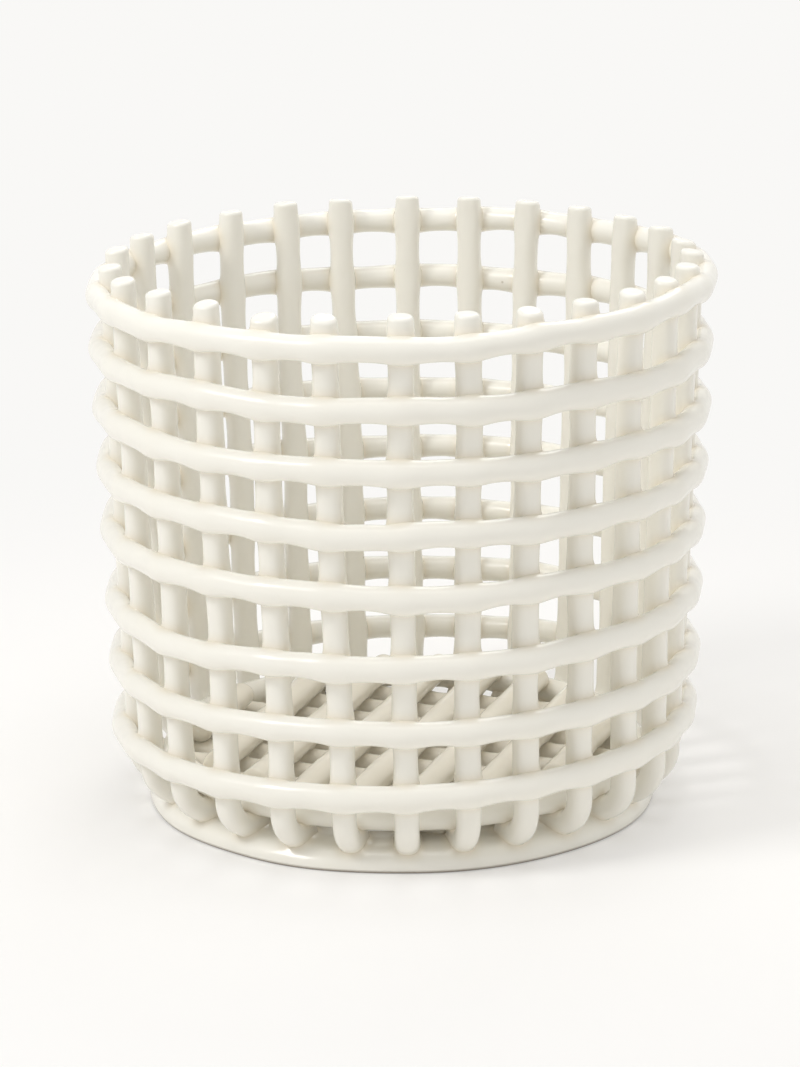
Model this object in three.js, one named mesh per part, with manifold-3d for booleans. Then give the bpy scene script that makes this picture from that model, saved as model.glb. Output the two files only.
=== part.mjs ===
// Ceramic basket, hand built from rolled clay rod and glazed. Upright rods hook in under a base ring and are
// pressed into a rounded foot ring, hoops are set on the outside of the uprights, and two crossed layers of
// straight rods make the floor.
// Millimetres, +Z up. The origin is on the basket's axis, on the surface it stands on. The front faces -Y.
import * as THREE from "three";
import { mergeVertices } from "three/addons/utils/BufferGeometryUtils.js";
import Module from "manifold-3d";

// Overall sizes
const HEIGHT = 210; // standing surface to the cut tops of the uprights
const RIM_DIAMETER = 235; // over the top hoop
const LOW_HOOP_DIAMETER = 223.5; // over the lowest hoop

// Clay rod, and how two pieces meet
const UPRIGHT_ROD = 9.5;
const HOOP_ROD = 9.5;
const BASE_RING_ROD = 9.5;
const FLOOR_ROD = 9.5;
const ROD_SIDES = 8;
const ROD_END_SOFTENING = 1.2; // rounding of a cut end
const SEAM = 0.3; // glaze seam between two joined pieces
const HOOP_PRESS = 5.4; // depth that a hoop is pressed flat where it is set on an upright

// Uprights
const UPRIGHT_COUNT = 27;
const SPACING_SKEW_DEG = 4.2; // hand set: the row is closer on one side of the front than on the other
const SPACING_PINCH_DEG = 1.4; // hand set: the row is closer at the front and the back than at the sides
const BEND_RADIUS = 12.3; // of an upright's middle line where it turns in to its hook
const BEND_STEPS = 4;

// Hoops, from the top down
const HOOP_COUNT = 8;
const RIM_DROP = 11.2; // tops of the uprights to the middle of the top hoop
const LOW_HOOP_HEIGHT = 32.6; // standing surface to the middle of the lowest hoop
const HOOP_DRIFT = [0, 1.2, 2.1, 3.1, 3.6, 1.0, 0.2, 0]; // hand set: how far each lies above even spacing
const HOOP_LEAN_DEG = [1.2, 0.1, -0.1, -0.2, 0.1, 1.1, 0.7, 1.7]; // hand set: how far each rises to +X

// Foot ring
const FOOT_HEIGHT = 8.9; // standing surface to the ledge that carries the floor
const FOOT_SETBACK = 5.8; // the foot's outer edge stands this far inside the uprights' middle lines
const FOOT_ROUND_WIDTH = 12; // from the outer edge in to where the rounded side meets the ledge
const FOOT_ROUND_STEPS = 4;
const FOOT_LEDGE = 7; // width of ledge under the ends of the floor rods
const FOOT_SOFTENING = 1.2; // rounding of the foot's other edges
const UPRIGHT_SINK = 4.9; // depth below the ledge that the uprights' hooks are pressed in

// Floor
const FLOOR_TURN_DEG = 71.5; // direction of the upper rods from +X; the lower ones lie square to them
const UPPER_COUNT = 8;
const UPPER_START = 11.7; // floor's edge to the middle of the first upper rod
const UPPER_END = 7.4; // middle of the last upper rod to the floor's edge
const LOWER_COUNT = 9;
const LOWER_START = 12.8; // floor's edge to the middle of the first lower rod
const LOWER_END = 19.9; // middle of the last lower rod to the floor's edge

const GLAZE = { color: 0xece8dc, roughness: 0.22, metalness: 0 };

const wasm = await Module();
wasm.setup();

// An eight-sided section has the area of the round rod. It lies with flats to its four sides.
const CORNER = Math.sqrt(Math.PI / ((ROD_SIDES / 2) * Math.sin((2 * Math.PI) / ROD_SIDES)));
const FLAT = CORNER * Math.cos(Math.PI / ROD_SIDES);

// Half the thickness of a rod, from its centre to a corner and to a flat
const cornerOf = (rod) => (rod / 2) * CORNER;
const flatOf = (rod) => (rod / 2) * FLAT;

// Corners of a rod's section as [across, along] pairs, counter-clockwise
function rodSection(rod) {
  return Array.from({ length: ROD_SIDES }, (_, i) => {
    const angle = ((i + 0.5) * 2 * Math.PI) / ROD_SIDES;
    return [cornerOf(rod) * Math.cos(angle), cornerOf(rod) * Math.sin(angle)];
  });
}

// A solid through a row of sections with equal numbers of corners, as a closed loop or with two flat ends
function loft(sections, isLoop) {
  const corners = sections[0].length;
  const positions = sections.flat().flatMap((point) => point.toArray());
  const index = [];
  const spans = isLoop ? sections.length : sections.length - 1;
  for (let s = 0; s < spans; s++) {
    const here = s * corners;
    const next = ((s + 1) % sections.length) * corners;
    for (let c = 0; c < corners; c++) {
      const d = (c + 1) % corners;
      index.push(here + c, here + d, next + d, here + c, next + d, next + c);
    }
  }
  if (!isLoop) {
    const last = (sections.length - 1) * corners;
    for (let c = 1; c < corners - 1; c++) {
      index.push(0, c + 1, c);
      index.push(last, last + c, last + c + 1);
    }
  }
  const geometry = new THREE.BufferGeometry();
  geometry.setAttribute("position", new THREE.Float32BufferAttribute(positions, 3));
  geometry.setIndex(index);
  geometry.computeVertexNormals();
  return geometry;
}

// A ring turned about the axis from a closed profile of [radius, height] points, counter-clockwise
function turnedRing(profile) {
  const points = [...profile, profile[0]].map(([radius, height]) => new THREE.Vector2(radius, height));
  return new THREE.LatheGeometry(points, 2 * UPRIGHT_COUNT).rotateX(Math.PI / 2);
}

// A closed geometry as a solid that can be cut
function solidOf(geometry) {
  const bare = new THREE.BufferGeometry();
  bare.setAttribute("position", geometry.getAttribute("position"));
  bare.setIndex(geometry.getIndex());
  const merged = mergeVertices(bare);
  const vertProperties = Float32Array.from(merged.getAttribute("position").array);
  const triVerts = Uint32Array.from(merged.getIndex().array);
  return new wasm.Manifold(new wasm.Mesh({ numProp: 3, vertProperties, triVerts }));
}

// A cut solid back as a geometry
function geometryOf(solid) {
  const { vertProperties, triVerts } = solid.getMesh();
  const geometry = new THREE.BufferGeometry();
  geometry.setAttribute("position", new THREE.BufferAttribute(vertProperties, 3));
  geometry.setIndex(new THREE.BufferAttribute(triVerts, 1));
  geometry.computeVertexNormals();
  return geometry;
}

// A hoop thickens evenly from each pressed seat to the middle of the bay, so it stands off the upright by
// what its straight sides come in over half the width of the seat
const spacingSkew = THREE.MathUtils.degToRad(SPACING_SKEW_DEG);
const spacingPinch = THREE.MathUtils.degToRad(SPACING_PINCH_DEG);
const seatHalfWidth = flatOf(UPRIGHT_ROD) * Math.tan(Math.PI / ROD_SIDES);
const lowHoopInside = LOW_HOOP_DIAMETER / 2 - 2 * flatOf(HOOP_ROD);
const narrowest = 1 - spacingSkew - 2 * spacingPinch; // share of an even bay that the narrowest one keeps
const narrowHalfBay = lowHoopInside * Math.sin(Math.PI / UPRIGHT_COUNT) * narrowest;
const sideSlope = HOOP_PRESS / narrowHalfBay + Math.tan(Math.PI / (2 * UPRIGHT_COUNT));
const seatStandoff = SEAM + seatHalfWidth * sideSlope;

// The uprights stand inside the hoops and lean out with them towards the rim
const topHoopHeight = HEIGHT - RIM_DROP;
const hoopPitch = (topHoopHeight - LOW_HOOP_HEIGHT) / (HOOP_COUNT - 1);
const hoopToUpright = flatOf(HOOP_ROD) - HOOP_PRESS + seatStandoff + flatOf(UPRIGHT_ROD);
const topUprightRadius = RIM_DIAMETER / 2 - flatOf(HOOP_ROD) - hoopToUpright;
const lowUprightRadius = LOW_HOOP_DIAMETER / 2 - flatOf(HOOP_ROD) - hoopToUpright;
const splay = (topUprightRadius - lowUprightRadius) / (topHoopHeight - LOW_HOOP_HEIGHT);
const lean = Math.atan(splay);
const uprightRadiusAt = (height) => lowUprightRadius + (height - LOW_HOOP_HEIGHT) * splay;

// Each upright bends in the plane of its radius and height to a level hook
const bendStep = (Math.PI / 2 - lean) / BEND_STEPS;
const hookHeight = FOOT_HEIGHT - UPRIGHT_SINK + flatOf(UPRIGHT_ROD);
const bendMiddleHeight = hookHeight + BEND_RADIUS;
const bendStartHeight = bendMiddleHeight - BEND_RADIUS * Math.sin(lean);
const bendMiddleRadius = uprightRadiusAt(bendStartHeight) - BEND_RADIUS * Math.cos(lean);

// The base ring lies on the level part of the hooks, which end under its inner side
const baseRingHeight = hookHeight + flatOf(UPRIGHT_ROD) + SEAM + flatOf(BASE_RING_ROD);
const baseRingRadius = bendMiddleRadius - flatOf(BASE_RING_ROD) * Math.tan(Math.PI / ROD_SIDES);
const hookEndRadius = baseRingRadius - flatOf(BASE_RING_ROD);

// The floor rods end inside the base ring, and the lower layer lies on the foot's ledge
const floorRadius = hookEndRadius - SEAM;
const lowerRodHeight = FOOT_HEIGHT + SEAM + flatOf(FLOOR_ROD);
const upperRodHeight = lowerRodHeight + 2 * flatOf(FLOOR_ROD) + SEAM;

// Turn from the front of a place along the row of uprights, which is counted in uprights
function turnAt(place) {
  const even = (place * 2 * Math.PI) / UPRIGHT_COUNT;
  return even - spacingSkew * (1 - Math.cos(even)) - spacingPinch * Math.sin(2 * even);
}

// A point at a turn from the front, at a radius and a height
const polar = (turn, radius, height) =>
  new THREE.Vector3(radius * Math.sin(turn), -radius * Math.cos(turn), height);

// One upright, or with a margin the room that it takes up
function uprightGeometry(place, margin = 0) {
  const turn = turnAt(place);
  const sideways = new THREE.Vector3(-Math.cos(turn), -Math.sin(turn), 0);
  const rod = UPRIGHT_ROD + (2 * margin) / FLAT;
  // A section across the rod's path, whose outer side faces (out, up) in the plane of the bend
  const sectionAt = (radius, height, out, up, thickness) => {
    const centre = polar(turn, radius, height);
    const outer = polar(turn, out, up);
    return rodSection(thickness).map(([across, along]) =>
      centre.clone().addScaledVector(outer, across).addScaledVector(sideways, along),
    );
  };
  const softStart = HEIGHT - ROD_END_SOFTENING;
  const sections = [
    sectionAt(uprightRadiusAt(HEIGHT), HEIGHT, 1, 0, rod - 2 * ROD_END_SOFTENING),
    sectionAt(uprightRadiusAt(softStart), softStart, 1, 0, rod),
  ];
  for (let step = 0; step <= BEND_STEPS; step++) {
    const angle = lean + step * bendStep;
    const out = Math.cos(angle);
    const up = -Math.sin(angle);
    const radius = bendMiddleRadius + BEND_RADIUS * out;
    const height = bendMiddleHeight + BEND_RADIUS * up;
    sections.push(sectionAt(radius, height, out, up, rod));
  }
  sections.push(sectionAt(hookEndRadius - margin, hookHeight, 0, -1, rod));
  return loft(sections, false);
}

// A hoop rises with its lean, follows the uprights' splay, and is pressed thin where it crosses one
function hoopGeometry(height, leanDeg) {
  const rise = Math.tan(THREE.MathUtils.degToRad(leanDeg)) * uprightRadiusAt(height);
  const sections = Array.from({ length: 2 * UPRIGHT_COUNT }, (_, i) => {
    const turn = turnAt(i / 2);
    const isCrossing = i % 2 === 0;
    const middle = height + rise * Math.sin(turn);
    const radius = uprightRadiusAt(middle) + hoopToUpright;
    const innermost = isCrossing ? HOOP_PRESS - flatOf(HOOP_ROD) : -Infinity;
    return rodSection(HOOP_ROD).map(([across, along]) =>
      polar(turn, radius + Math.max(across, innermost), middle + along),
    );
  });
  return loft(sections.reverse(), true);
}

// A ring with a flat underside, a ledge on top and a rounded outer side, cut to seat the uprights' hooks
function footRingGeometry() {
  const outer = lowUprightRadius - FOOT_SETBACK;
  const inner = floorRadius - FOOT_LEDGE;
  const soft = FOOT_SOFTENING;
  const roundedSide = Array.from({ length: FOOT_ROUND_STEPS + 1 }, (_, i) => {
    const angle = ((Math.PI / 2) * i) / FOOT_ROUND_STEPS;
    const radius = outer - FOOT_ROUND_WIDTH * (1 - Math.cos(angle));
    return [radius, soft + (FOOT_HEIGHT - soft) * Math.sin(angle)];
  });
  const blank = turnedRing([
    [inner, soft],
    [inner + soft, 0],
    [outer - soft, 0],
    ...roundedSide,
    [inner + soft, FOOT_HEIGHT],
    [inner, FOOT_HEIGHT - soft],
  ]);
  let foot = solidOf(blank);
  for (let i = 0; i < UPRIGHT_COUNT; i++) {
    foot = foot.subtract(solidOf(uprightGeometry(i, SEAM)));
  }
  return geometryOf(foot);
}

function baseRingGeometry() {
  const profile = rodSection(BASE_RING_ROD);
  return turnedRing(profile.map(([across, along]) => [baseRingRadius + across, baseRingHeight + along]));
}

// A straight floor rod at an offset from the axis
function floorRodGeometry(turnDeg, offset, height) {
  const turn = THREE.MathUtils.degToRad(turnDeg);
  const half = Math.sqrt(floorRadius ** 2 - (Math.abs(offset) + flatOf(FLOOR_ROD)) ** 2);
  const run = new THREE.Vector3(Math.cos(turn), Math.sin(turn), 0);
  const sideways = new THREE.Vector3(-run.y, run.x, 0);
  const sectionAt = (distance, rod) =>
    rodSection(rod).map(([across, along]) =>
      run
        .clone()
        .multiplyScalar(distance)
        .addScaledVector(sideways, offset + across)
        .setZ(height + along),
    );
  const softened = FLOOR_ROD - 2 * ROD_END_SOFTENING;
  const sections = [
    sectionAt(-half, softened),
    sectionAt(ROD_END_SOFTENING - half, FLOOR_ROD),
    sectionAt(half - ROD_END_SOFTENING, FLOOR_ROD),
    sectionAt(half, softened),
  ];
  return loft(sections, false);
}

// Offsets from the axis of the rods of one layer, evenly spread between its margins
function layerOffsets(count, start, end) {
  const pitch = (2 * floorRadius - start - end) / (count - 1);
  return Array.from({ length: count }, (_, i) => start - floorRadius + i * pitch);
}

const basket = new THREE.Group();

function addPiece(name, geometry) {
  const piece = new THREE.Mesh(geometry, new THREE.MeshStandardMaterial(GLAZE));
  piece.name = name;
  basket.add(piece);
}

const numbered = (name, i) => `${name}_${String(i + 1).padStart(2, "0")}`;

addPiece("foot_ring", footRingGeometry());
addPiece("base_ring", baseRingGeometry());

for (let i = 0; i < UPRIGHT_COUNT; i++) {
  addPiece(numbered("upright", i), uprightGeometry(i));
}

for (let i = 0; i < HOOP_COUNT; i++) {
  const height = topHoopHeight - i * hoopPitch + HOOP_DRIFT[i % HOOP_DRIFT.length];
  addPiece(numbered("hoop", i), hoopGeometry(height, HOOP_LEAN_DEG[i % HOOP_LEAN_DEG.length]));
}

layerOffsets(LOWER_COUNT, LOWER_START, LOWER_END).forEach((offset, i) => {
  addPiece(numbered("floor_rod_lower", i), floorRodGeometry(FLOOR_TURN_DEG - 90, offset, lowerRodHeight));
});

layerOffsets(UPPER_COUNT, UPPER_START, UPPER_END).forEach((offset, i) => {
  addPiece(numbered("floor_rod_upper", i), floorRodGeometry(FLOOR_TURN_DEG, offset, upperRodHeight));
});

export default basket;
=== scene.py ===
"""Looks of a hand-built ceramic basket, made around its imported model.

Every piece of rolled clay is a surface worked out on a grid: rings of points carried along the piece's
middle line. The pieces swell towards each other where they were pressed together wet, and one glossy
off-white glaze covers all. Lengths are in millimetres, and the meshes are written in metres.
"""
import math

import bpy
import numpy as np
from mathutils import Matrix, Vector


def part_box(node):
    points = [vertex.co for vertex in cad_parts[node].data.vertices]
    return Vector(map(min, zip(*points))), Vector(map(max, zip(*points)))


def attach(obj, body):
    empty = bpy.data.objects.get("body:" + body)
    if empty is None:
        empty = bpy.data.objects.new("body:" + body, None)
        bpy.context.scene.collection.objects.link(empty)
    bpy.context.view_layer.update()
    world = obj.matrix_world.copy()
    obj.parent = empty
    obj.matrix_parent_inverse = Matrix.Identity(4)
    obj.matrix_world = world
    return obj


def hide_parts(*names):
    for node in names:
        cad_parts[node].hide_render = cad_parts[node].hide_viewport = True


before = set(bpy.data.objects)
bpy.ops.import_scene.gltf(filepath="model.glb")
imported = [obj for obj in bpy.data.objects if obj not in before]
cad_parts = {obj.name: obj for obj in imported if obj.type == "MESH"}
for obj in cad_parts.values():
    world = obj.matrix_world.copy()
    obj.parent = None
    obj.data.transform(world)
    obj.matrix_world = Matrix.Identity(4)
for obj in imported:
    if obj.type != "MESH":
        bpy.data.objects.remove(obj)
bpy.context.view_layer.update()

MM = 0.001  # metres
TAU = 2 * math.pi
rng = np.random.default_rng(27)

# Rolled rods
ROD = 4.7  # radius of the floor rods and the base ring
FLOOR_WIDTH = 1.12  # the floor rods are pressed this much wider than tall
FLOOR_REACH = 4.0  # their ends run this far on, into and over the base ring
UPRIGHT_WIDE = 4.5  # half width and half depth of an upright
UPRIGHT_DEEP = 4.4
UPRIGHT_SQUARE = 0.86  # below 1: the uprights' sides are patted flatter
HOOP_TALL = 4.55  # half height and half depth of a hoop
HOOP_DEEP = 4.3
BEND = 12.3  # radius of an upright's middle line where it turns in to its hook
ROUND = 28  # points round a rod
STEP = 1.1  # between rings along a rod
CUT_SOFTNESS = 1.6  # rounding of the uprights' cut tops
END_SOFTNESS = 2.4  # rounding of the floor rods' ends
EDGE_RINGS = 7  # rings round a softened edge
CUT_RINGS = 4  # rings across a flat cut
CUT_SHARE = 0.8  # the innermost one is drawn in by this share of a rod's radius

# How the hand shows in the rods
HOOP_KNUCKLE = 0.5  # a hoop stands out this far where it crosses an upright
HOOP_INSET = 0.3  # the crossings are set about this far inside the solids' outer sides
HOOP_SPREAD = 4.6  # half length of hoop that a crossing shapes
HOOP_DROOP = 1.1  # swelling of a hoop's lower side at a crossing
HOOP_RISE = 0.2  # and of its upper side
UPRIGHT_SPREAD = 4.4  # half length of upright that a crossing shapes
UPRIGHT_WIDENING = 0.6  # swelling of an upright's two sides at a crossing
STEPS_PER_BAY = 22  # rings of a hoop between two uprights
SWAY_RISE = 40.0  # an upright's slow wave grows to its full size over this height above the base ring

# How far each upright in turn stands to the right, seen from outside, at its top and at its foot, and how
# much its top is cut down
TOP_SHIFT = [
    -0.8, 0, -0.9, -1.5, -1.5, -1.9, -1.2, 0.9, -2.5, -2.0, -1.7, -1.2, -0.5, 0.1,
    1.6, 3.3, 0.9, -0.4, -0.9, -2.8, -3.0, -1.0, -1.8, 0.4, -0.5, -1.5, -3.6,
]
FOOT_SHIFT = [0.8, 1.2, 1.5, 3.0, 4.6, 5.2, 4.6, 2.6, 1.2] + [0] * 17 + [0.8]
TOP_CUT = [
    0.1, 0, 0, 0, 0, 0, 0.1, 0, 0, 0, 0, 0, 0.1, 0,
    0, 0.6, 0.6, 1.3, 1.3, 1.8, 1.3, 1.8, 1.0, 0, 0, 1.7, 0.6,
]
TOP_SLANT = 0.1  # the cut tops slope down to the outside by this much
TOP_SLANT_SPREAD = 0.04  # and each differs by about this much either way
TOP_SLANT_LENGTH = 6.0  # length of upright that the slope reaches down
TOP_MARGIN = 0.1  # lowers the sloping tops a little further, to keep them below the solids' tops
SWELL_MOST = 1.05  # about the most that an upright is thickened by its wander

# Reach of the soft fillets where two pieces join
HOOP_FILLET = 2.4
BASE_FILLET = 3.0
FLOOR_FILLET = 3.6
FOOT_FILLET = 3.0
POOL_AND_SHADE_REACH = 5.0  # the glaze is thicker up to this far from a join, and painted warm shade reaches as far
FLOOR_POOL_AND_SHADE = 0.55  # it runs down and lies this thick all over the floor, and the floor takes this much painted warm shade

# Foot ring
FOOT_ROUND_WIDTH = 12.0  # outer edge to the ledge
FOOT_EDGE = 1.2  # rounding of the other edges
FOOT_WANDER_WIDTH = 14.0  # the outer edge's wander dies out over this width
FOOT_HELD = (0.2, 3.0)  # fillets on the foot grow from nothing to full between these heights
FOOT_STEPS_PER_BAY = 36  # sections of the foot between two uprights
FOOT_ROUND_STEPS = 22  # points on its rounded side
FOOT_FLAT_STEPS = 9  # points on a flat side
FOOT_FRONT = 1.9  # the foot sits this far to the front
FOOT_LEFT = 0.9  # and this far to the left
FOOT_SPREAD = 0.2  # and is this much wider all round
HOOK_RAISE = 1.5  # the hooks lie this much higher on the foot, in their fillets


def corners(node):
    """Corner points of a CAD solid, one row each."""
    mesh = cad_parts[node].data
    flat = np.empty(3 * len(mesh.vertices), np.float32)
    mesh.vertices.foreach_get("co", flat)
    return flat.reshape(-1, 3).astype(float) / MM


def named(word):
    """Names of the CAD nodes that begin with a word, in order."""
    return sorted(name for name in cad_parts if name.startswith(word))


def middle(values):
    """Halfway between the least and the greatest value."""
    return (values.min() + values.max()) / 2


# Places of the pieces, read from the solids
UPRIGHTS = named("upright_")
HOOPS = named("hoop_")
LOWER_RODS = named("floor_rod_lower_")
UPPER_RODS = named("floor_rod_upper_")

upright_middles = np.array([np.mean(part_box(name), axis=0) for name in UPRIGHTS])
TURNS = np.arctan2(upright_middles[:, 0], -upright_middles[:, 1])

first = corners(UPRIGHTS[0])
first_out = first[:, 0] * np.sin(TURNS[0]) - first[:, 1] * np.cos(TURNS[0])
TOP = first[:, 2].max()
TOP_RADIUS = middle(first_out[first[:, 2] > TOP - 0.1])
HOOK_END = first_out.min()
HOOK_HEIGHT = middle(first[first_out < HOOK_END + 0.1, 2]) + HOOK_RAISE
run_top = np.argmax(first_out)
run_foot = np.argmax(np.where(first[:, 2] < TOP / 2, first_out, 0))
LEAN = math.atan2(first_out[run_top] - first_out[run_foot], first[run_top, 2] - first[run_foot, 2])

ring = corners("base_ring")
RING_RADIUS = middle(np.hypot(ring[:, 0], ring[:, 1]))
RING_HEIGHT = middle(ring[:, 2])

foot = corners("foot_ring")
FOOT_OUTER = np.hypot(foot[:, 0], foot[:, 1]).max()
FOOT_INNER = np.hypot(foot[:, 0], foot[:, 1]).min()
FOOT_HEIGHT = foot[:, 2].max()


def wall_radius(height):
    """Radius of the uprights' middle lines at a height on their straight run."""
    return TOP_RADIUS - (TOP - height) * math.tan(LEAN)


# The bend joins an upright's leaning run to its level hook
BEND_HEIGHT = HOOK_HEIGHT + BEND
BEND_MIDDLE = wall_radius(BEND_HEIGHT) - BEND / math.cos(LEAN)
STRAIGHT = (TOP - BEND_HEIGHT + BEND * math.sin(LEAN)) / math.cos(LEAN)
BEND_LENGTH = BEND * (math.pi / 2 - LEAN)
HOOK_LENGTH = BEND_MIDDLE - HOOK_END


def hoop_plane(node):
    """Height on the axis and slopes along X and Y of a hoop: the plane nearest to its solid's corners."""
    points = corners(node)
    design = np.column_stack([np.ones(len(points)), points[:, 0], points[:, 1]])
    return np.linalg.lstsq(design, points[:, 2], rcond=None)[0]


HOOP_PLANES = [hoop_plane(name) for name in HOOPS]

# The uprights' middle lines to the hoops' outer sides
rim = corners(HOOPS[0])
rim_out = np.argmax(np.hypot(rim[:, 0], rim[:, 1]))
HOOP_REACH = np.hypot(*rim[rim_out, :2]) - wall_radius(rim[rim_out, 2])


def rod_line(node):
    """Middle, direction and half length of a straight floor rod: its solid's longest axis."""
    points = corners(node)
    centre = (points.min(axis=0) + points.max(axis=0)) / 2
    along = np.linalg.svd(points - centre, full_matrices=False)[2][0]
    return centre, along, np.abs((points - centre) @ along).max() + FLOOR_REACH


ROD_LINES = {name: rod_line(name) for name in LOWER_RODS + UPPER_RODS}


def drift(waves, amount):
    """A slow hand-made wander over 0 to 1: sines of random phase, each smaller the shorter its wave."""
    count = np.arange(1, waves + 1)
    phase = rng.uniform(0, TAU, waves)
    size = rng.normal(size=waves) / np.sqrt(count)
    size *= amount * math.sqrt(2) / np.linalg.norm(size)
    return lambda place: np.sin(TAU * np.asarray(place)[..., None] * count + phase) @ size


def smooth(low, high, value):
    """Smooth step from 0 at low to 1 at high."""
    share = np.clip((value - low) / (high - low), 0, 1)
    return share * share * (3 - 2 * share)


# Wander of each piece's middle line and thickness
UPRIGHT_SWAY = [drift(3, 0.3) for _ in UPRIGHTS]
UPRIGHT_THICKNESS = [drift(7, 0.018) for _ in UPRIGHTS]
HOOP_WAVE = [drift(11, 0.38) for _ in HOOPS]
HOOP_SWING = [drift(7, 0.12) for _ in HOOPS]
HOOP_THICKNESS = [drift(40, 0.03) for _ in HOOPS]
RING_WAVE = drift(9, 0.25)
FOOT_WAVE = drift(11, 0.35)
ROD_SWAY = {name: drift(2, 0.35) for name in ROD_LINES}
ROD_THICKNESS = {name: drift(5, 0.02) for name in ROD_LINES}


def sway(upright, height):
    """Sideways wander of an upright at a height: its shift at the foot, dying out with the square of the
    height left, its shift at the top, growing evenly, and a slow wave held still at its hook."""
    wave = UPRIGHT_SWAY[upright](height / TOP) * smooth(RING_HEIGHT, RING_HEIGHT + SWAY_RISE, height)
    low = FOOT_SHIFT[upright] * np.clip(1 - height / TOP, 0, 1) ** 2
    return low + TOP_SHIFT[upright] * height / TOP + wave


def crossing(turn, height):
    """How near a place on a hoop is to a crossing: a bell curve round each upright, 1 at its middle."""
    near = np.zeros_like(turn)
    for k, upright_turn in enumerate(TURNS):
        away = (turn - upright_turn + math.pi) % TAU - math.pi
        offset = away * wall_radius(height) - sway(k, height)
        near += np.exp(-0.5 * (offset / HOOP_SPREAD) ** 2)
    return near


def hoop_line(hoop, turn):
    """Radius and height of a hoop's middle line at a turn from the front: the plane of the hoop, set on the
    outside of the leaning uprights, with knuckles at the crossings and a slow wander."""
    level, slope_x, slope_y = HOOP_PLANES[hoop]
    reach = wall_radius(level) + HOOP_REACH - HOOP_DEEP
    place = turn / TAU
    height = level + reach * (slope_x * np.sin(turn) - slope_y * np.cos(turn)) + HOOP_WAVE[hoop](place)
    hollow = HOOP_INSET + HOOP_KNUCKLE * (1 - crossing(turn, height)) + HOOP_SWING[hoop](place)
    return wall_radius(height) + HOOP_REACH - HOOP_DEEP - hollow, height


def gap_to_uprights(points):
    """Distance from points to the nearest upright's surface: to its leaning run, its bend or its hook,
    whichever the point lies beside, measured in the upright's own plane and joined with the distance
    sideways."""
    x, y, z = points.T
    nearest = np.full(len(points), np.inf)
    for k, turn in enumerate(TURNS):
        sideways = x * np.cos(turn) + y * np.sin(turn) - sway(k, z)
        out = x * np.sin(turn) - y * np.cos(turn) - BEND_MIDDLE
        up = z - BEND_HEIGHT
        on_run = np.abs(out * math.cos(LEAN) - up * math.sin(LEAN) - BEND)
        on_bend = np.abs(np.hypot(out, up) - BEND)
        on_hook = np.hypot(np.maximum(-out - HOOK_LENGTH, 0), up + BEND)
        above = up * math.cos(LEAN) + out * math.sin(LEAN) > 0
        planar = np.where(above, on_run, np.where(out > 0, on_bend, on_hook))
        nearest = np.minimum(nearest, np.hypot(sideways, planar) - UPRIGHT_WIDE)
    return nearest


def gap_to_hoops(points):
    """Distance from points to the nearest hoop's surface, measured in the plane through the axis."""
    x, y, z = points.T
    turn = np.arctan2(x, -y)
    radius = np.hypot(x, y)
    nearest = np.full(len(points), np.inf)
    for hoop in range(len(HOOPS)):
        hoop_radius, hoop_height = hoop_line(hoop, turn)
        nearest = np.minimum(nearest, np.hypot(radius - hoop_radius, z - hoop_height) - HOOP_TALL)
    return nearest


def gap_to_base_ring(points):
    """Distance from points to the base ring's surface."""
    x, y, z = points.T
    height = RING_HEIGHT + RING_WAVE(np.arctan2(x, -y) / TAU)
    return np.hypot(np.hypot(x, y) - RING_RADIUS, z - height) - ROD


def gap_to_rods(points, names):
    """Distance from points to the nearest of some floor rods."""
    nearest = np.full(len(points), np.inf)
    for name in names:
        centre, along, half = ROD_LINES[name]
        away = points - centre
        distance = away @ along
        across = away - distance[:, None] * along
        past = np.maximum(np.abs(distance) - half + ROD, 0)
        nearest = np.minimum(nearest, np.hypot(np.linalg.norm(across, axis=1), past) - ROD)
    return nearest


def foot_wander(turn):
    """How far the foot's outer edge stands out beyond an even ring at a turn."""
    return FOOT_WAVE(turn / TAU) + FOOT_SPREAD + FOOT_FRONT * np.cos(turn) - FOOT_LEFT * np.sin(turn)


def foot_share(radius):
    """Share of the outer edge's wander that the foot follows at a radius."""
    return smooth(FOOT_OUTER - FOOT_WANDER_WIDTH, FOOT_OUTER, radius)


def foot_top(radius):
    """Height of the foot's upper side at a radius: a quarter ellipse from the outer edge to a level ledge."""
    share = np.clip((radius - FOOT_OUTER + FOOT_ROUND_WIDTH) / FOOT_ROUND_WIDTH, 0, 1)
    return FOOT_EDGE + (FOOT_HEIGHT - FOOT_EDGE) * np.sqrt(1 - share * share)


def gap_to_foot(points):
    """About the distance from points above the foot to its upper side."""
    x, y, z = points.T
    radius = np.hypot(x, y)
    outside = foot_wander(np.arctan2(x, -y)) * foot_share(radius)
    return np.maximum(z - foot_top(radius - outside), FOOT_INNER - radius)


def fillet(gap, reach):
    """How far a surface rises towards its neighbour: (reach - gap) squared over four times the reach."""
    near = np.clip(reach - np.maximum(gap, 0), 0, None)
    return near * near / (4 * reach)


def pooling_and_shade(gap):
    """Extra thickness of glaze near a join, from 0 to 1; it also sets how much painted warm shade lies there.
    """
    return np.clip(1 - np.maximum(gap, 0) / POOL_AND_SHADE_REACH, 0, 1) ** 2


def join(points, normals, gaps):
    """Raises a surface in fillets towards its neighbours, given as (gap, reach) pairs. Returns the points and
    the pooling of the glaze, which also sets the painted warm shade in the joins."""
    lift = np.zeros(len(points))
    pool_and_shade = np.zeros(len(points))
    for gap, reach in gaps:
        lift = np.maximum(lift, fillet(gap, reach))
        pool_and_shade = np.maximum(pool_and_shade, pooling_and_shade(gap))
    return points + normals * lift[:, None], pool_and_shade


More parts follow.
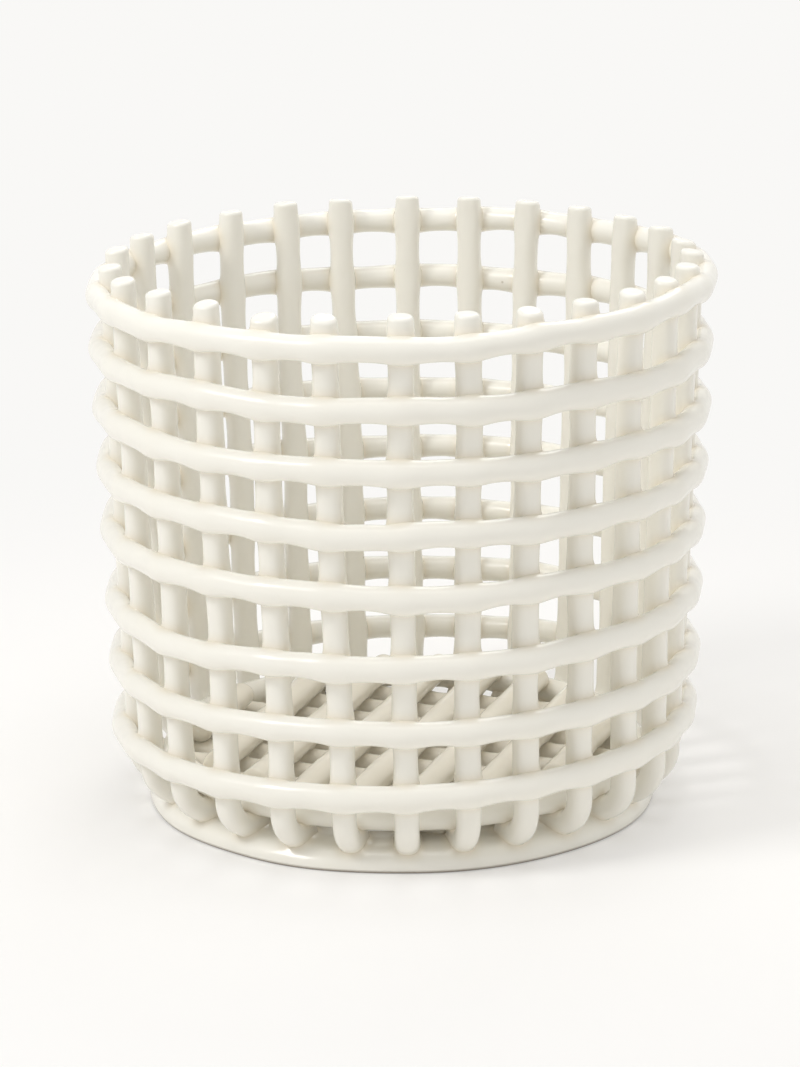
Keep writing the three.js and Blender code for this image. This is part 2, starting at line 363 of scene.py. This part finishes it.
def lay_skin(name, rings, pool_and_shade, closed):
    """A piece from a grid of points. Each ring is joined to the next one and closed round. A closed piece
    joins its last ring to its first, and an open one has a fan of triangles over each end."""
    count, around = rings.shape[:2]
    here = np.arange(count * around).reshape(count, around)
    beside = np.roll(here, -1, axis=1)
    if closed:
        quads = np.stack([here, np.roll(here, -1, 0), np.roll(beside, -1, 0), beside], axis=-1)
        points = rings.reshape(-1, 3)
        fans = np.empty((0, 3), int)
    else:
        quads = np.stack([here[:-1], here[1:], beside[1:], beside[:-1]], axis=-1)
        points = np.vstack([rings.reshape(-1, 3), rings[0].mean(axis=0), rings[-1].mean(axis=0)])
        pool_and_shade = np.append(pool_and_shade, [0, 0])
        start = np.full(around, count * around)
        fans = np.vstack([
            np.column_stack([start, here[0], beside[0]]),
            np.column_stack([start + 1, beside[-1], here[-1]]),
        ])
    quads = quads.reshape(-1, 4)
    loops = np.concatenate([quads.ravel(), fans.ravel()]).astype(np.int32)
    sizes = np.concatenate([np.full(len(quads), 4), np.full(len(fans), 3)])
    starts = np.concatenate([[0], np.cumsum(sizes)[:-1]]).astype(np.int32)
    mesh = bpy.data.meshes.new(name)
    mesh.vertices.add(len(points))
    mesh.vertices.foreach_set("co", (points * MM).astype(np.float32).ravel())
    mesh.loops.add(len(loops))
    mesh.loops.foreach_set("vertex_index", loops)
    mesh.polygons.add(len(starts))
    mesh.polygons.foreach_set("loop_start", starts)
    mesh.polygons.foreach_set("use_smooth", np.ones(len(starts), bool))
    mesh.update(calc_edges=True)
    mesh.attributes.new("pool_and_shade", "FLOAT", "POINT").data.foreach_set("value", pool_and_shade.astype(np.float32))
    mesh.materials.append(GLAZE)
    piece = bpy.data.objects.new(name, mesh)
    bpy.context.scene.collection.objects.link(piece)
    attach(piece, "root")
    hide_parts(name)


def open_stations(length, softness):
    """Distances along an open rod, and how far each ring is drawn in: across a flat cut, round its soft edge,
    along the side, and back over the other end."""
    turn = np.linspace(0, math.pi / 2, EDGE_RINGS)
    cut = np.linspace(ROD * CUT_SHARE, softness, CUT_RINGS)[:-1]
    end_distance = np.concatenate([np.zeros(len(cut)), softness * (1 - np.cos(turn))])
    end_inset = np.concatenate([cut, softness * (1 - np.sin(turn))])
    side = np.linspace(softness, length - softness, int(length / STEP))[1:-1]
    distance = np.concatenate([end_distance, side, length - end_distance[::-1]])
    inset = np.concatenate([end_inset, np.zeros(len(side)), end_inset[::-1]])
    return distance, inset


ANGLES = np.linspace(0, TAU, ROUND, endpoint=False)
COS = np.cos(ANGLES)
SIN = np.sin(ANGLES)


def squared(wave, square):
    """A sine or cosine drawn out towards 1 and -1, so that an oval becomes a rounded rectangle."""
    return np.sign(wave) * np.abs(wave) ** square


def swept(centres, first_axis, second_axis, first_radius, second_radius, square=1):
    """Points and outward directions of a rod: at each centre an oval ring on two axes, or a squarer one for a
    power below 1. The radii are given for every point of every ring."""
    normals = COS[None, :, None] * first_axis[:, None] + SIN[None, :, None] * second_axis[:, None]
    points = (
        centres[:, None]
        + (first_radius * squared(COS, square))[..., None] * first_axis[:, None]
        + (second_radius * squared(SIN, square))[..., None] * second_axis[:, None]
    )
    return points.reshape(-1, 3), normals.reshape(-1, 3)


def upright_path(distance):
    """Radius, height and tilt of an upright's middle line at a distance from its top: a straight leaning run,
    a bend and a level hook."""
    tilt = LEAN + np.clip((distance - STRAIGHT) / BEND, 0, math.pi / 2 - LEAN)
    left = np.maximum(STRAIGHT - distance, 0)
    hook = np.maximum(distance - STRAIGHT - BEND_LENGTH, 0)
    radius = BEND_MIDDLE + BEND * np.cos(tilt) + left * math.sin(LEAN) - hook
    height = BEND_HEIGHT - BEND * np.sin(tilt) + left * math.cos(LEAN)
    return radius, height, tilt


def make_upright(k, name):
    """An upright: a rod along its path, cut at a slant on top and pressed wider where hoops cross it."""
    turn = TURNS[k]
    cut = TOP_CUT[k]
    slant = rng.normal(size=2) * TOP_SLANT_SPREAD - [TOP_SLANT, 0]
    distance, inset = open_stations(STRAIGHT + BEND_LENGTH + HOOK_LENGTH - cut, CUT_SOFTNESS)
    distance = distance + cut
    radius, height, tilt = upright_path(distance)
    sideways = np.array([math.cos(turn), math.sin(turn), 0])
    outward = np.array([math.sin(turn), -math.cos(turn), 0])
    up = np.array([0, 0, 1])
    out_axis = np.cos(tilt)[:, None] * outward - np.sin(tilt)[:, None] * up
    side_axis = np.tile(sideways, (len(distance), 1))
    centres = radius[:, None] * outward + height[:, None] * up + sway(k, height)[:, None] * sideways
    pressed = np.zeros_like(distance)
    for hoop in range(len(HOOPS)):
        hoop_height = hoop_line(hoop, np.array([turn]))[1]
        pressed += np.exp(-0.5 * ((height - hoop_height) / UPRIGHT_SPREAD) ** 2)
    swell = 1 + UPRIGHT_THICKNESS[k](distance / TOP)
    out_radius = (UPRIGHT_DEEP * swell - inset)[:, None] * np.ones(ROUND)
    side_radius = (UPRIGHT_WIDE * swell - inset + UPRIGHT_WIDENING * pressed)[:, None] * np.ones(ROUND)
    points, normals = swept(centres, out_axis, side_axis, out_radius, side_radius, UPRIGHT_SQUARE)
    highest = TOP_MARGIN + SWELL_MOST * UPRIGHT_WIDE * np.linalg.norm(slant)
    lean = out_radius * COS * slant[0] + side_radius * SIN * slant[1] - highest
    points[:, 2] += (smooth(cut + TOP_SLANT_LENGTH, cut, distance)[:, None] * lean).ravel()
    points, pool_and_shade = join(points, normals, [
        (gap_to_hoops(points), HOOP_FILLET),
        (gap_to_base_ring(points), BASE_FILLET),
        (gap_to_foot(points), FOOT_FILLET),
    ])
    lay_skin(name, points.reshape(-1, ROUND, 3), pool_and_shade, False)


def make_hoop(hoop, name):
    """A hoop: a rod along its wandering ring, swollen and drooping where it crosses uprights."""
    turn = np.linspace(0, TAU, STEPS_PER_BAY * len(UPRIGHTS), endpoint=False)
    radius, height = hoop_line(hoop, turn)
    outward = np.column_stack([np.sin(turn), -np.cos(turn), np.zeros_like(turn)])
    up = np.tile([0.0, 0.0, 1.0], (len(turn), 1))
    near = crossing(turn, height)[:, None]
    swell = (1 + HOOP_THICKNESS[hoop](turn / TAU))[:, None]
    out_radius = np.full((len(turn), ROUND), HOOP_DEEP)
    bulge = HOOP_DROOP * near * np.maximum(-SIN, 0) + HOOP_RISE * near * np.maximum(SIN, 0)
    centres = radius[:, None] * outward + height[:, None] * up
    points, normals = swept(centres, outward, up, out_radius, HOOP_TALL * swell + bulge)
    points, pool_and_shade = join(points, normals, [(gap_to_uprights(points), HOOP_FILLET)])
    lay_skin(name, points.reshape(-1, ROUND, 3), pool_and_shade, True)


def make_base_ring(name):
    """The base ring: a rod round the axis that the uprights hook under and the floor rods run into."""
    turn = np.linspace(0, TAU, STEPS_PER_BAY * len(UPRIGHTS), endpoint=False)
    outward = np.column_stack([np.sin(turn), -np.cos(turn), np.zeros_like(turn)])
    up = np.tile([0.0, 0.0, 1.0], (len(turn), 1))
    height = RING_HEIGHT + RING_WAVE(turn / TAU)
    radii = np.full((len(turn), ROUND), ROD)
    points, normals = swept(RING_RADIUS * outward + height[:, None] * up, outward, up, radii, radii)
    points, pool_and_shade = join(points, normals, [
        (gap_to_uprights(points), BASE_FILLET),
        (gap_to_rods(points, ROD_LINES), BASE_FILLET),
    ])
    lay_skin(name, points.reshape(-1, ROUND, 3), pool_and_shade, True)


def make_floor_rod(name, others):
    """A floor rod: nearly straight, with rounded ends, joined to the other layer, the ring and the foot."""
    centre, along, half = ROD_LINES[name]
    distance, inset = open_stations(2 * half, END_SOFTNESS)
    place = distance / (2 * half)
    up = np.tile([0.0, 0.0, 1.0], (len(distance), 1))
    across = np.tile(np.cross([0, 0, 1], along), (len(distance), 1))
    shift = ROD_SWAY[name](place) * np.sin(math.pi * place)
    centres = centre + (distance - half)[:, None] * along + shift[:, None] * across
    base = (ROD * (1 + ROD_THICKNESS[name](place)) - inset)[:, None] * np.ones(ROUND)
    points, normals = swept(centres, up, across, base, base * FLOOR_WIDTH)
    points, pool_and_shade = join(points, normals, [
        (gap_to_rods(points, others), FLOOR_FILLET),
        (gap_to_base_ring(points), BASE_FILLET),
        (gap_to_foot(points), FLOOR_FILLET),
    ])
    # the whole floor takes pooled glaze and painted warm shade at this share
    pool_and_shade = np.maximum(pool_and_shade, FLOOR_POOL_AND_SHADE)
    lay_skin(name, points.reshape(-1, ROUND, 3), pool_and_shade, False)


def foot_profile():
    """Radius and height round the foot's section: a flat underside, softened edges, a quarter ellipse
    outside, a level ledge and an upright inner side."""
    quarter = np.linspace(0, math.pi / 2, EDGE_RINGS)[:-1]
    rise = np.linspace(0, math.pi / 2, FOOT_ROUND_STEPS)[:-1]
    flat = np.linspace(0, 1, FOOT_FLAT_STEPS)[:-1]
    inner, outer, top, edge = FOOT_INNER, FOOT_OUTER, FOOT_HEIGHT, FOOT_EDGE
    ledge_end = outer - FOOT_ROUND_WIDTH
    radius = np.concatenate([
        inner + edge + flat * (outer - inner - 2 * edge),
        outer - edge + edge * np.sin(quarter),
        ledge_end + FOOT_ROUND_WIDTH * np.cos(rise),
        ledge_end + flat * (inner + edge - ledge_end),
        inner + edge - edge * np.sin(quarter),
        np.full(len(flat), inner),
        inner + edge - edge * np.cos(quarter),
    ])
    height = np.concatenate([
        np.zeros(len(flat)),
        edge - edge * np.cos(quarter),
        edge + (top - edge) * np.sin(rise),
        np.full(len(flat), top),
        top - edge + edge * np.cos(quarter),
        top - edge + flat * (2 * edge - top),
        edge - edge * np.sin(quarter),
    ])
    return radius, height


def make_foot(name):
    """The foot ring: its section carried round the axis with a slow wander, with fillets up to the hooks."""
    turn = np.linspace(0, TAU, FOOT_STEPS_PER_BAY * len(UPRIGHTS), endpoint=False)
    radius, height = foot_profile()
    slope_r = np.roll(radius, -1) - np.roll(radius, 1)
    slope_z = np.roll(height, -1) - np.roll(height, 1)
    length = np.hypot(slope_r, slope_z)
    outward = np.column_stack([np.sin(turn), -np.cos(turn), np.zeros_like(turn)])[:, None]
    up = np.array([0.0, 0.0, 1.0])
    wander = foot_wander(turn)[:, None] * foot_share(radius)
    points = ((radius + wander)[..., None] * outward + height[None, :, None] * up).reshape(-1, 3)
    normals = (slope_z / length)[None, :, None] * outward - (slope_r / length)[None, :, None] * up
    normals = normals.reshape(-1, 3)
    held = smooth(*FOOT_HELD, points[:, 2])[:, None]
    points, pool_and_shade = join(points, normals * held, [
        (gap_to_uprights(points), FOOT_FILLET),
        (gap_to_rods(points, LOWER_RODS), FLOOR_FILLET),
    ])
    lay_skin(name, points.reshape(len(turn), -1, 3), pool_and_shade, True)


# Glaze
CREAM_DEEP = (0.892, 0.867, 0.785, 1)  # the glaze's cream wanders between these two
CREAM_PALE = (0.912, 0.892, 0.822, 1)
POOL_AND_SHADE_TONE = (0.82, 0.73, 0.57, 1)  # where it is thick, and painted warm shade in the joins and over the floor
POOL_AND_SHADE_TINT = 0.65  # share of that tone at the thickest
PINHOLE_TONE = (0.5, 0.44, 0.35, 1)
PINHOLE_CHOICE = 0.82  # a cell of the pattern with a random value over this has a pinhole
LOWEST_BAND_TONE = (0.30, 0.26, 0.21, 1)  # dark brown band along the foot's lowest 1.5 mm
THIN_GLOSS = 0.24  # roughness of thin glaze and of thick
THICK_GLOSS = 0.06


def feed(tree, socket, value):
    """Links a socket to another one, or gives it a plain value."""
    if isinstance(value, bpy.types.NodeSocket):
        tree.links.new(value, socket)
    else:
        socket.default_value = value


def add_noise(tree, place, scale, detail):
    """A cloudy pattern."""
    node = tree.nodes.new("ShaderNodeTexNoise")
    node.inputs["Scale"].default_value = scale
    node.inputs["Detail"].default_value = detail
    tree.links.new(place, node.inputs["Vector"])
    return node.outputs["Fac"]


def add_blend(tree, share, under, over):
    """One colour over another, by a share."""
    node = tree.nodes.new("ShaderNodeMix")
    node.data_type = "RGBA"
    feed(tree, node.inputs[0], share)
    feed(tree, node.inputs[6], under)
    feed(tree, node.inputs[7], over)
    return node.outputs[2]


def add_range(tree, value, source, target, interpolation="LINEAR"):
    """A value carried from one range, low and high, to another and held inside it."""
    node = tree.nodes.new("ShaderNodeMapRange")
    node.interpolation_type = interpolation
    tree.links.new(value, node.inputs["Value"])
    node.inputs["From Min"].default_value = source[0]
    node.inputs["From Max"].default_value = source[1]
    node.inputs["To Min"].default_value = target[0]
    node.inputs["To Max"].default_value = target[1]
    return node.outputs["Result"]


def combine(tree, operation, first, second):
    """Two values put together by an operation."""
    node = tree.nodes.new("ShaderNodeMath")
    node.operation = operation
    feed(tree, node.inputs[0], first)
    feed(tree, node.inputs[1], second)
    return node.outputs[0]


def add_split(tree, place):
    """The three coordinates of a place."""
    node = tree.nodes.new("ShaderNodeSeparateXYZ")
    tree.links.new(place, node.inputs[0])
    return node.outputs


def add_bump(tree, height, strength, distance):
    """A bump node driven by a pattern."""
    node = tree.nodes.new("ShaderNodeBump")
    node.inputs["Strength"].default_value = strength
    node.inputs["Distance"].default_value = distance
    tree.links.new(height, node.inputs["Height"])
    return node


def glaze_material():
    """Glossy off-white glaze: a slightly uneven cream, glossier where it pools in the joins, and warmer there
    and over the floor, partly from the thicker glaze and partly as painted warm shade, with soft dents, a
    faint orange-peel surface and a few pinholes. The foot is darker brown towards its lowest edge, below 1.5
    mm."""
    material = bpy.data.materials.new("off_white_glaze")
    material.use_nodes = True
    tree = material.node_tree
    shader = tree.nodes["Principled BSDF"]
    shader.inputs["IOR"].default_value = 1.5
    place = tree.nodes.new("ShaderNodeTexCoord").outputs["Object"]
    attribute = tree.nodes.new("ShaderNodeAttribute")
    attribute.attribute_name = "pool_and_shade"
    pool_and_shade = attribute.outputs["Fac"]

    cream = add_blend(tree, add_noise(tree, place, 45, 3), CREAM_DEEP, CREAM_PALE)
    # painted warm shade: joins and the whole floor are tinted warmer and darker, together with the real
    # thicker glaze there
    pooled_and_shaded_cream = add_blend(tree, combine(tree, "MULTIPLY", pool_and_shade, POOL_AND_SHADE_TINT), cream, POOL_AND_SHADE_TONE)

    cells = tree.nodes.new("ShaderNodeTexVoronoi")
    cells.inputs["Scale"].default_value = 70
    tree.links.new(place, cells.inputs["Vector"])
    spot = add_range(tree, cells.outputs["Distance"], (0.055, 0.03), (0, 0.7))
    chosen = combine(tree, "GREATER_THAN", cells.outputs["Color"], PINHOLE_CHOICE)
    pinholes = combine(tree, "MULTIPLY", spot, chosen)
    speckled = add_blend(tree, pinholes, pooled_and_shaded_cream, PINHOLE_TONE)

    # darker brown towards the bottom: full below 0.5 mm, fading out by 1.5 mm
    lowest_band = add_range(tree, add_split(tree, place)["Z"], (0.0015, 0.0005), (0, 1))
    feed(tree, shader.inputs["Base Color"], add_blend(tree, lowest_band, speckled, LOWEST_BAND_TONE))
    feed(tree, shader.inputs["Roughness"], add_range(tree, pool_and_shade, (0, 1), (THIN_GLOSS, THICK_GLOSS)))

    dents = add_bump(tree, add_noise(tree, place, 75, 1), 0.4, 0.0012)
    peel = add_bump(tree, add_noise(tree, place, 260, 2), 0.12, 0.0006)
    tree.links.new(dents.outputs["Normal"], peel.inputs["Normal"])
    tree.links.new(peel.outputs["Normal"], shader.inputs["Normal"])
    return material


GLAZE = glaze_material()

for k, name in enumerate(UPRIGHTS):
    make_upright(k, name)
for hoop, name in enumerate(HOOPS):
    make_hoop(hoop, name)
make_base_ring("base_ring")
make_foot("foot_ring")
for name in LOWER_RODS:
    make_floor_rod(name, UPPER_RODS)
for name in UPPER_RODS:
    make_floor_rod(name, LOWER_RODS)

# Studio
PAPER = (0.947, 0.939, 0.922, 1)  # near-white paper that the basket stands on and before
PAPER_MATTE = (0.935, 0.92, 0.90, 1)  # its colour where it takes light and shadow
PAPER_GLOW = 0.3  # share of the paper that is lit evenly, so that its shadows stay soft
PAPER_FADE = (0.18, 0.55)  # metres from the middle between which the shadow fades out
PAPER_HALF = 3.0  # metres, half the sheet's width
DOME_TONE = (1.0, 0.995, 0.985, 1)
DOME = 0.44  # strength of the dome of light all round
DOME_FRONT = 0.12  # added on the camera's side
DOME_RIGHT = 0.42  # added on the right


def seen_directly(tree):
    """1 for rays from the camera, a mirror reflection or glass, 0 for the light that falls on the basket."""
    path = tree.nodes.new("ShaderNodeLightPath").outputs
    either = combine(tree, "MAXIMUM", path["Is Camera Ray"], path["Is Transmission Ray"])
    return combine(tree, "MAXIMUM", either, path["Is Glossy Ray"])


def add_mixed(tree, share, under, over, surface):
    """Two shaders mixed by a share and given to the surface."""
    mix = tree.nodes.new("ShaderNodeMixShader")
    tree.links.new(share, mix.inputs[0])
    tree.links.new(under.outputs[0], mix.inputs[1])
    tree.links.new(over.outputs[0], mix.inputs[2])
    tree.links.new(mix.outputs[0], surface.inputs["Surface"])


def make_paper():
    """A wide sheet of pale paper. Its middle takes the basket's shadow, and it fades to the even backdrop."""
    half = PAPER_HALF
    mesh = bpy.data.meshes.new("paper")
    corner_points = [(-half, -half, 0), (half, -half, 0), (half, half, 0), (-half, half, 0)]
    mesh.from_pydata(corner_points, [], [(0, 1, 2, 3)])
    paper = bpy.data.objects.new("paper", mesh)
    bpy.context.scene.collection.objects.link(paper)
    material = bpy.data.materials.new("pale_paper")
    material.use_nodes = True
    tree = material.node_tree
    tree.nodes.clear()
    output = tree.nodes.new("ShaderNodeOutputMaterial")
    matte = tree.nodes.new("ShaderNodeBsdfDiffuse")
    matte.inputs["Color"].default_value = PAPER_MATTE
    glow = tree.nodes.new("ShaderNodeEmission")
    glow.inputs["Color"].default_value = PAPER
    place = tree.nodes.new("ShaderNodeTexCoord")
    distance = tree.nodes.new("ShaderNodeVectorMath")
    distance.operation = "LENGTH"
    tree.links.new(place.outputs["Object"], distance.inputs[0])
    fade = add_range(tree, distance.outputs["Value"], PAPER_FADE, (PAPER_GLOW, 1), "SMOOTHSTEP")
    share = combine(tree, "MULTIPLY", fade, seen_directly(tree))
    add_mixed(tree, share, matte, glow, output)
    mesh.materials.append(material)


def make_world():
    """Even near-white behind the basket, and a soft dome of light, brighter at the front and on the right."""
    world = bpy.data.worlds.new("studio")
    bpy.context.scene.world = world
    world.use_nodes = True
    tree = world.node_tree
    dome = tree.nodes["Background"]
    dome.inputs["Color"].default_value = DOME_TONE
    place = tree.nodes.new("ShaderNodeTexCoord").outputs["Generated"]
    direction = add_split(tree, place)
    front = add_range(tree, direction["Y"], (0, -1), (DOME, DOME + DOME_FRONT))
    right = add_range(tree, direction["X"], (0, 1), (0, DOME_RIGHT))
    tree.links.new(combine(tree, "ADD", front, right), dome.inputs["Strength"])
    paper = tree.nodes.new("ShaderNodeBackground")
    paper.inputs["Color"].default_value = PAPER
    paper.inputs["Strength"].default_value = 1
    add_mixed(tree, seen_directly(tree), dome, paper, tree.nodes["World Output"])


def make_softbox(name, place, aim, size, power):
    """A square lamp, turned from its place to face a point. Lengths are in metres and power in watts."""
    lamp = bpy.data.lights.new(name, "AREA")
    lamp.shape = "SQUARE"
    lamp.size = size
    lamp.energy = power
    holder = bpy.data.objects.new(name, lamp)
    holder.location = place
    holder.rotation_euler = (Vector(aim) - Vector(place)).to_track_quat("-Z", "Y").to_euler()
    bpy.context.scene.collection.objects.link(holder)


def make_camera():
    """The photograph's camera: a long lens, a little above the rim, with a slight roll."""
    distance = 1.6767
    elevation = math.radians(15.649)
    roll = math.radians(0.445)
    target = Vector((0.0006, 0, 0.0975))
    back = Vector((0, -math.cos(elevation), math.sin(elevation)))
    level = Vector((1, 0, 0))
    right = math.cos(roll) * level - math.sin(roll) * back.cross(level)
    up = back.cross(right)
    camera = bpy.data.cameras.new("camera")
    camera.sensor_width = 36
    camera.lens = 149.85
    camera.shift_x = -0.0045
    camera.shift_y = 0.0083
    camera.clip_end = 20
    holder = bpy.data.objects.new("camera", camera)
    turned = Matrix((right, up, back)).transposed().to_4x4()
    holder.matrix_world = Matrix.Translation(target + distance * back) @ turned
    bpy.context.scene.collection.objects.link(holder)
    bpy.context.scene.camera = holder


make_paper()
make_world()
make_softbox("key", (-1.06, -0.56, 1.22), (0, 0, 0.1), 0.45, 9.5)
make_softbox("overhead", (0, -0.2, 1.7), (0, 0, 0.1), 1.0, 6.6)
make_softbox("back", (0.3, 1.05, 1.3), (0, 0, 0.1), 0.7, 4.5)
make_camera()
bpy.context.scene.view_settings.view_transform = "Standard"
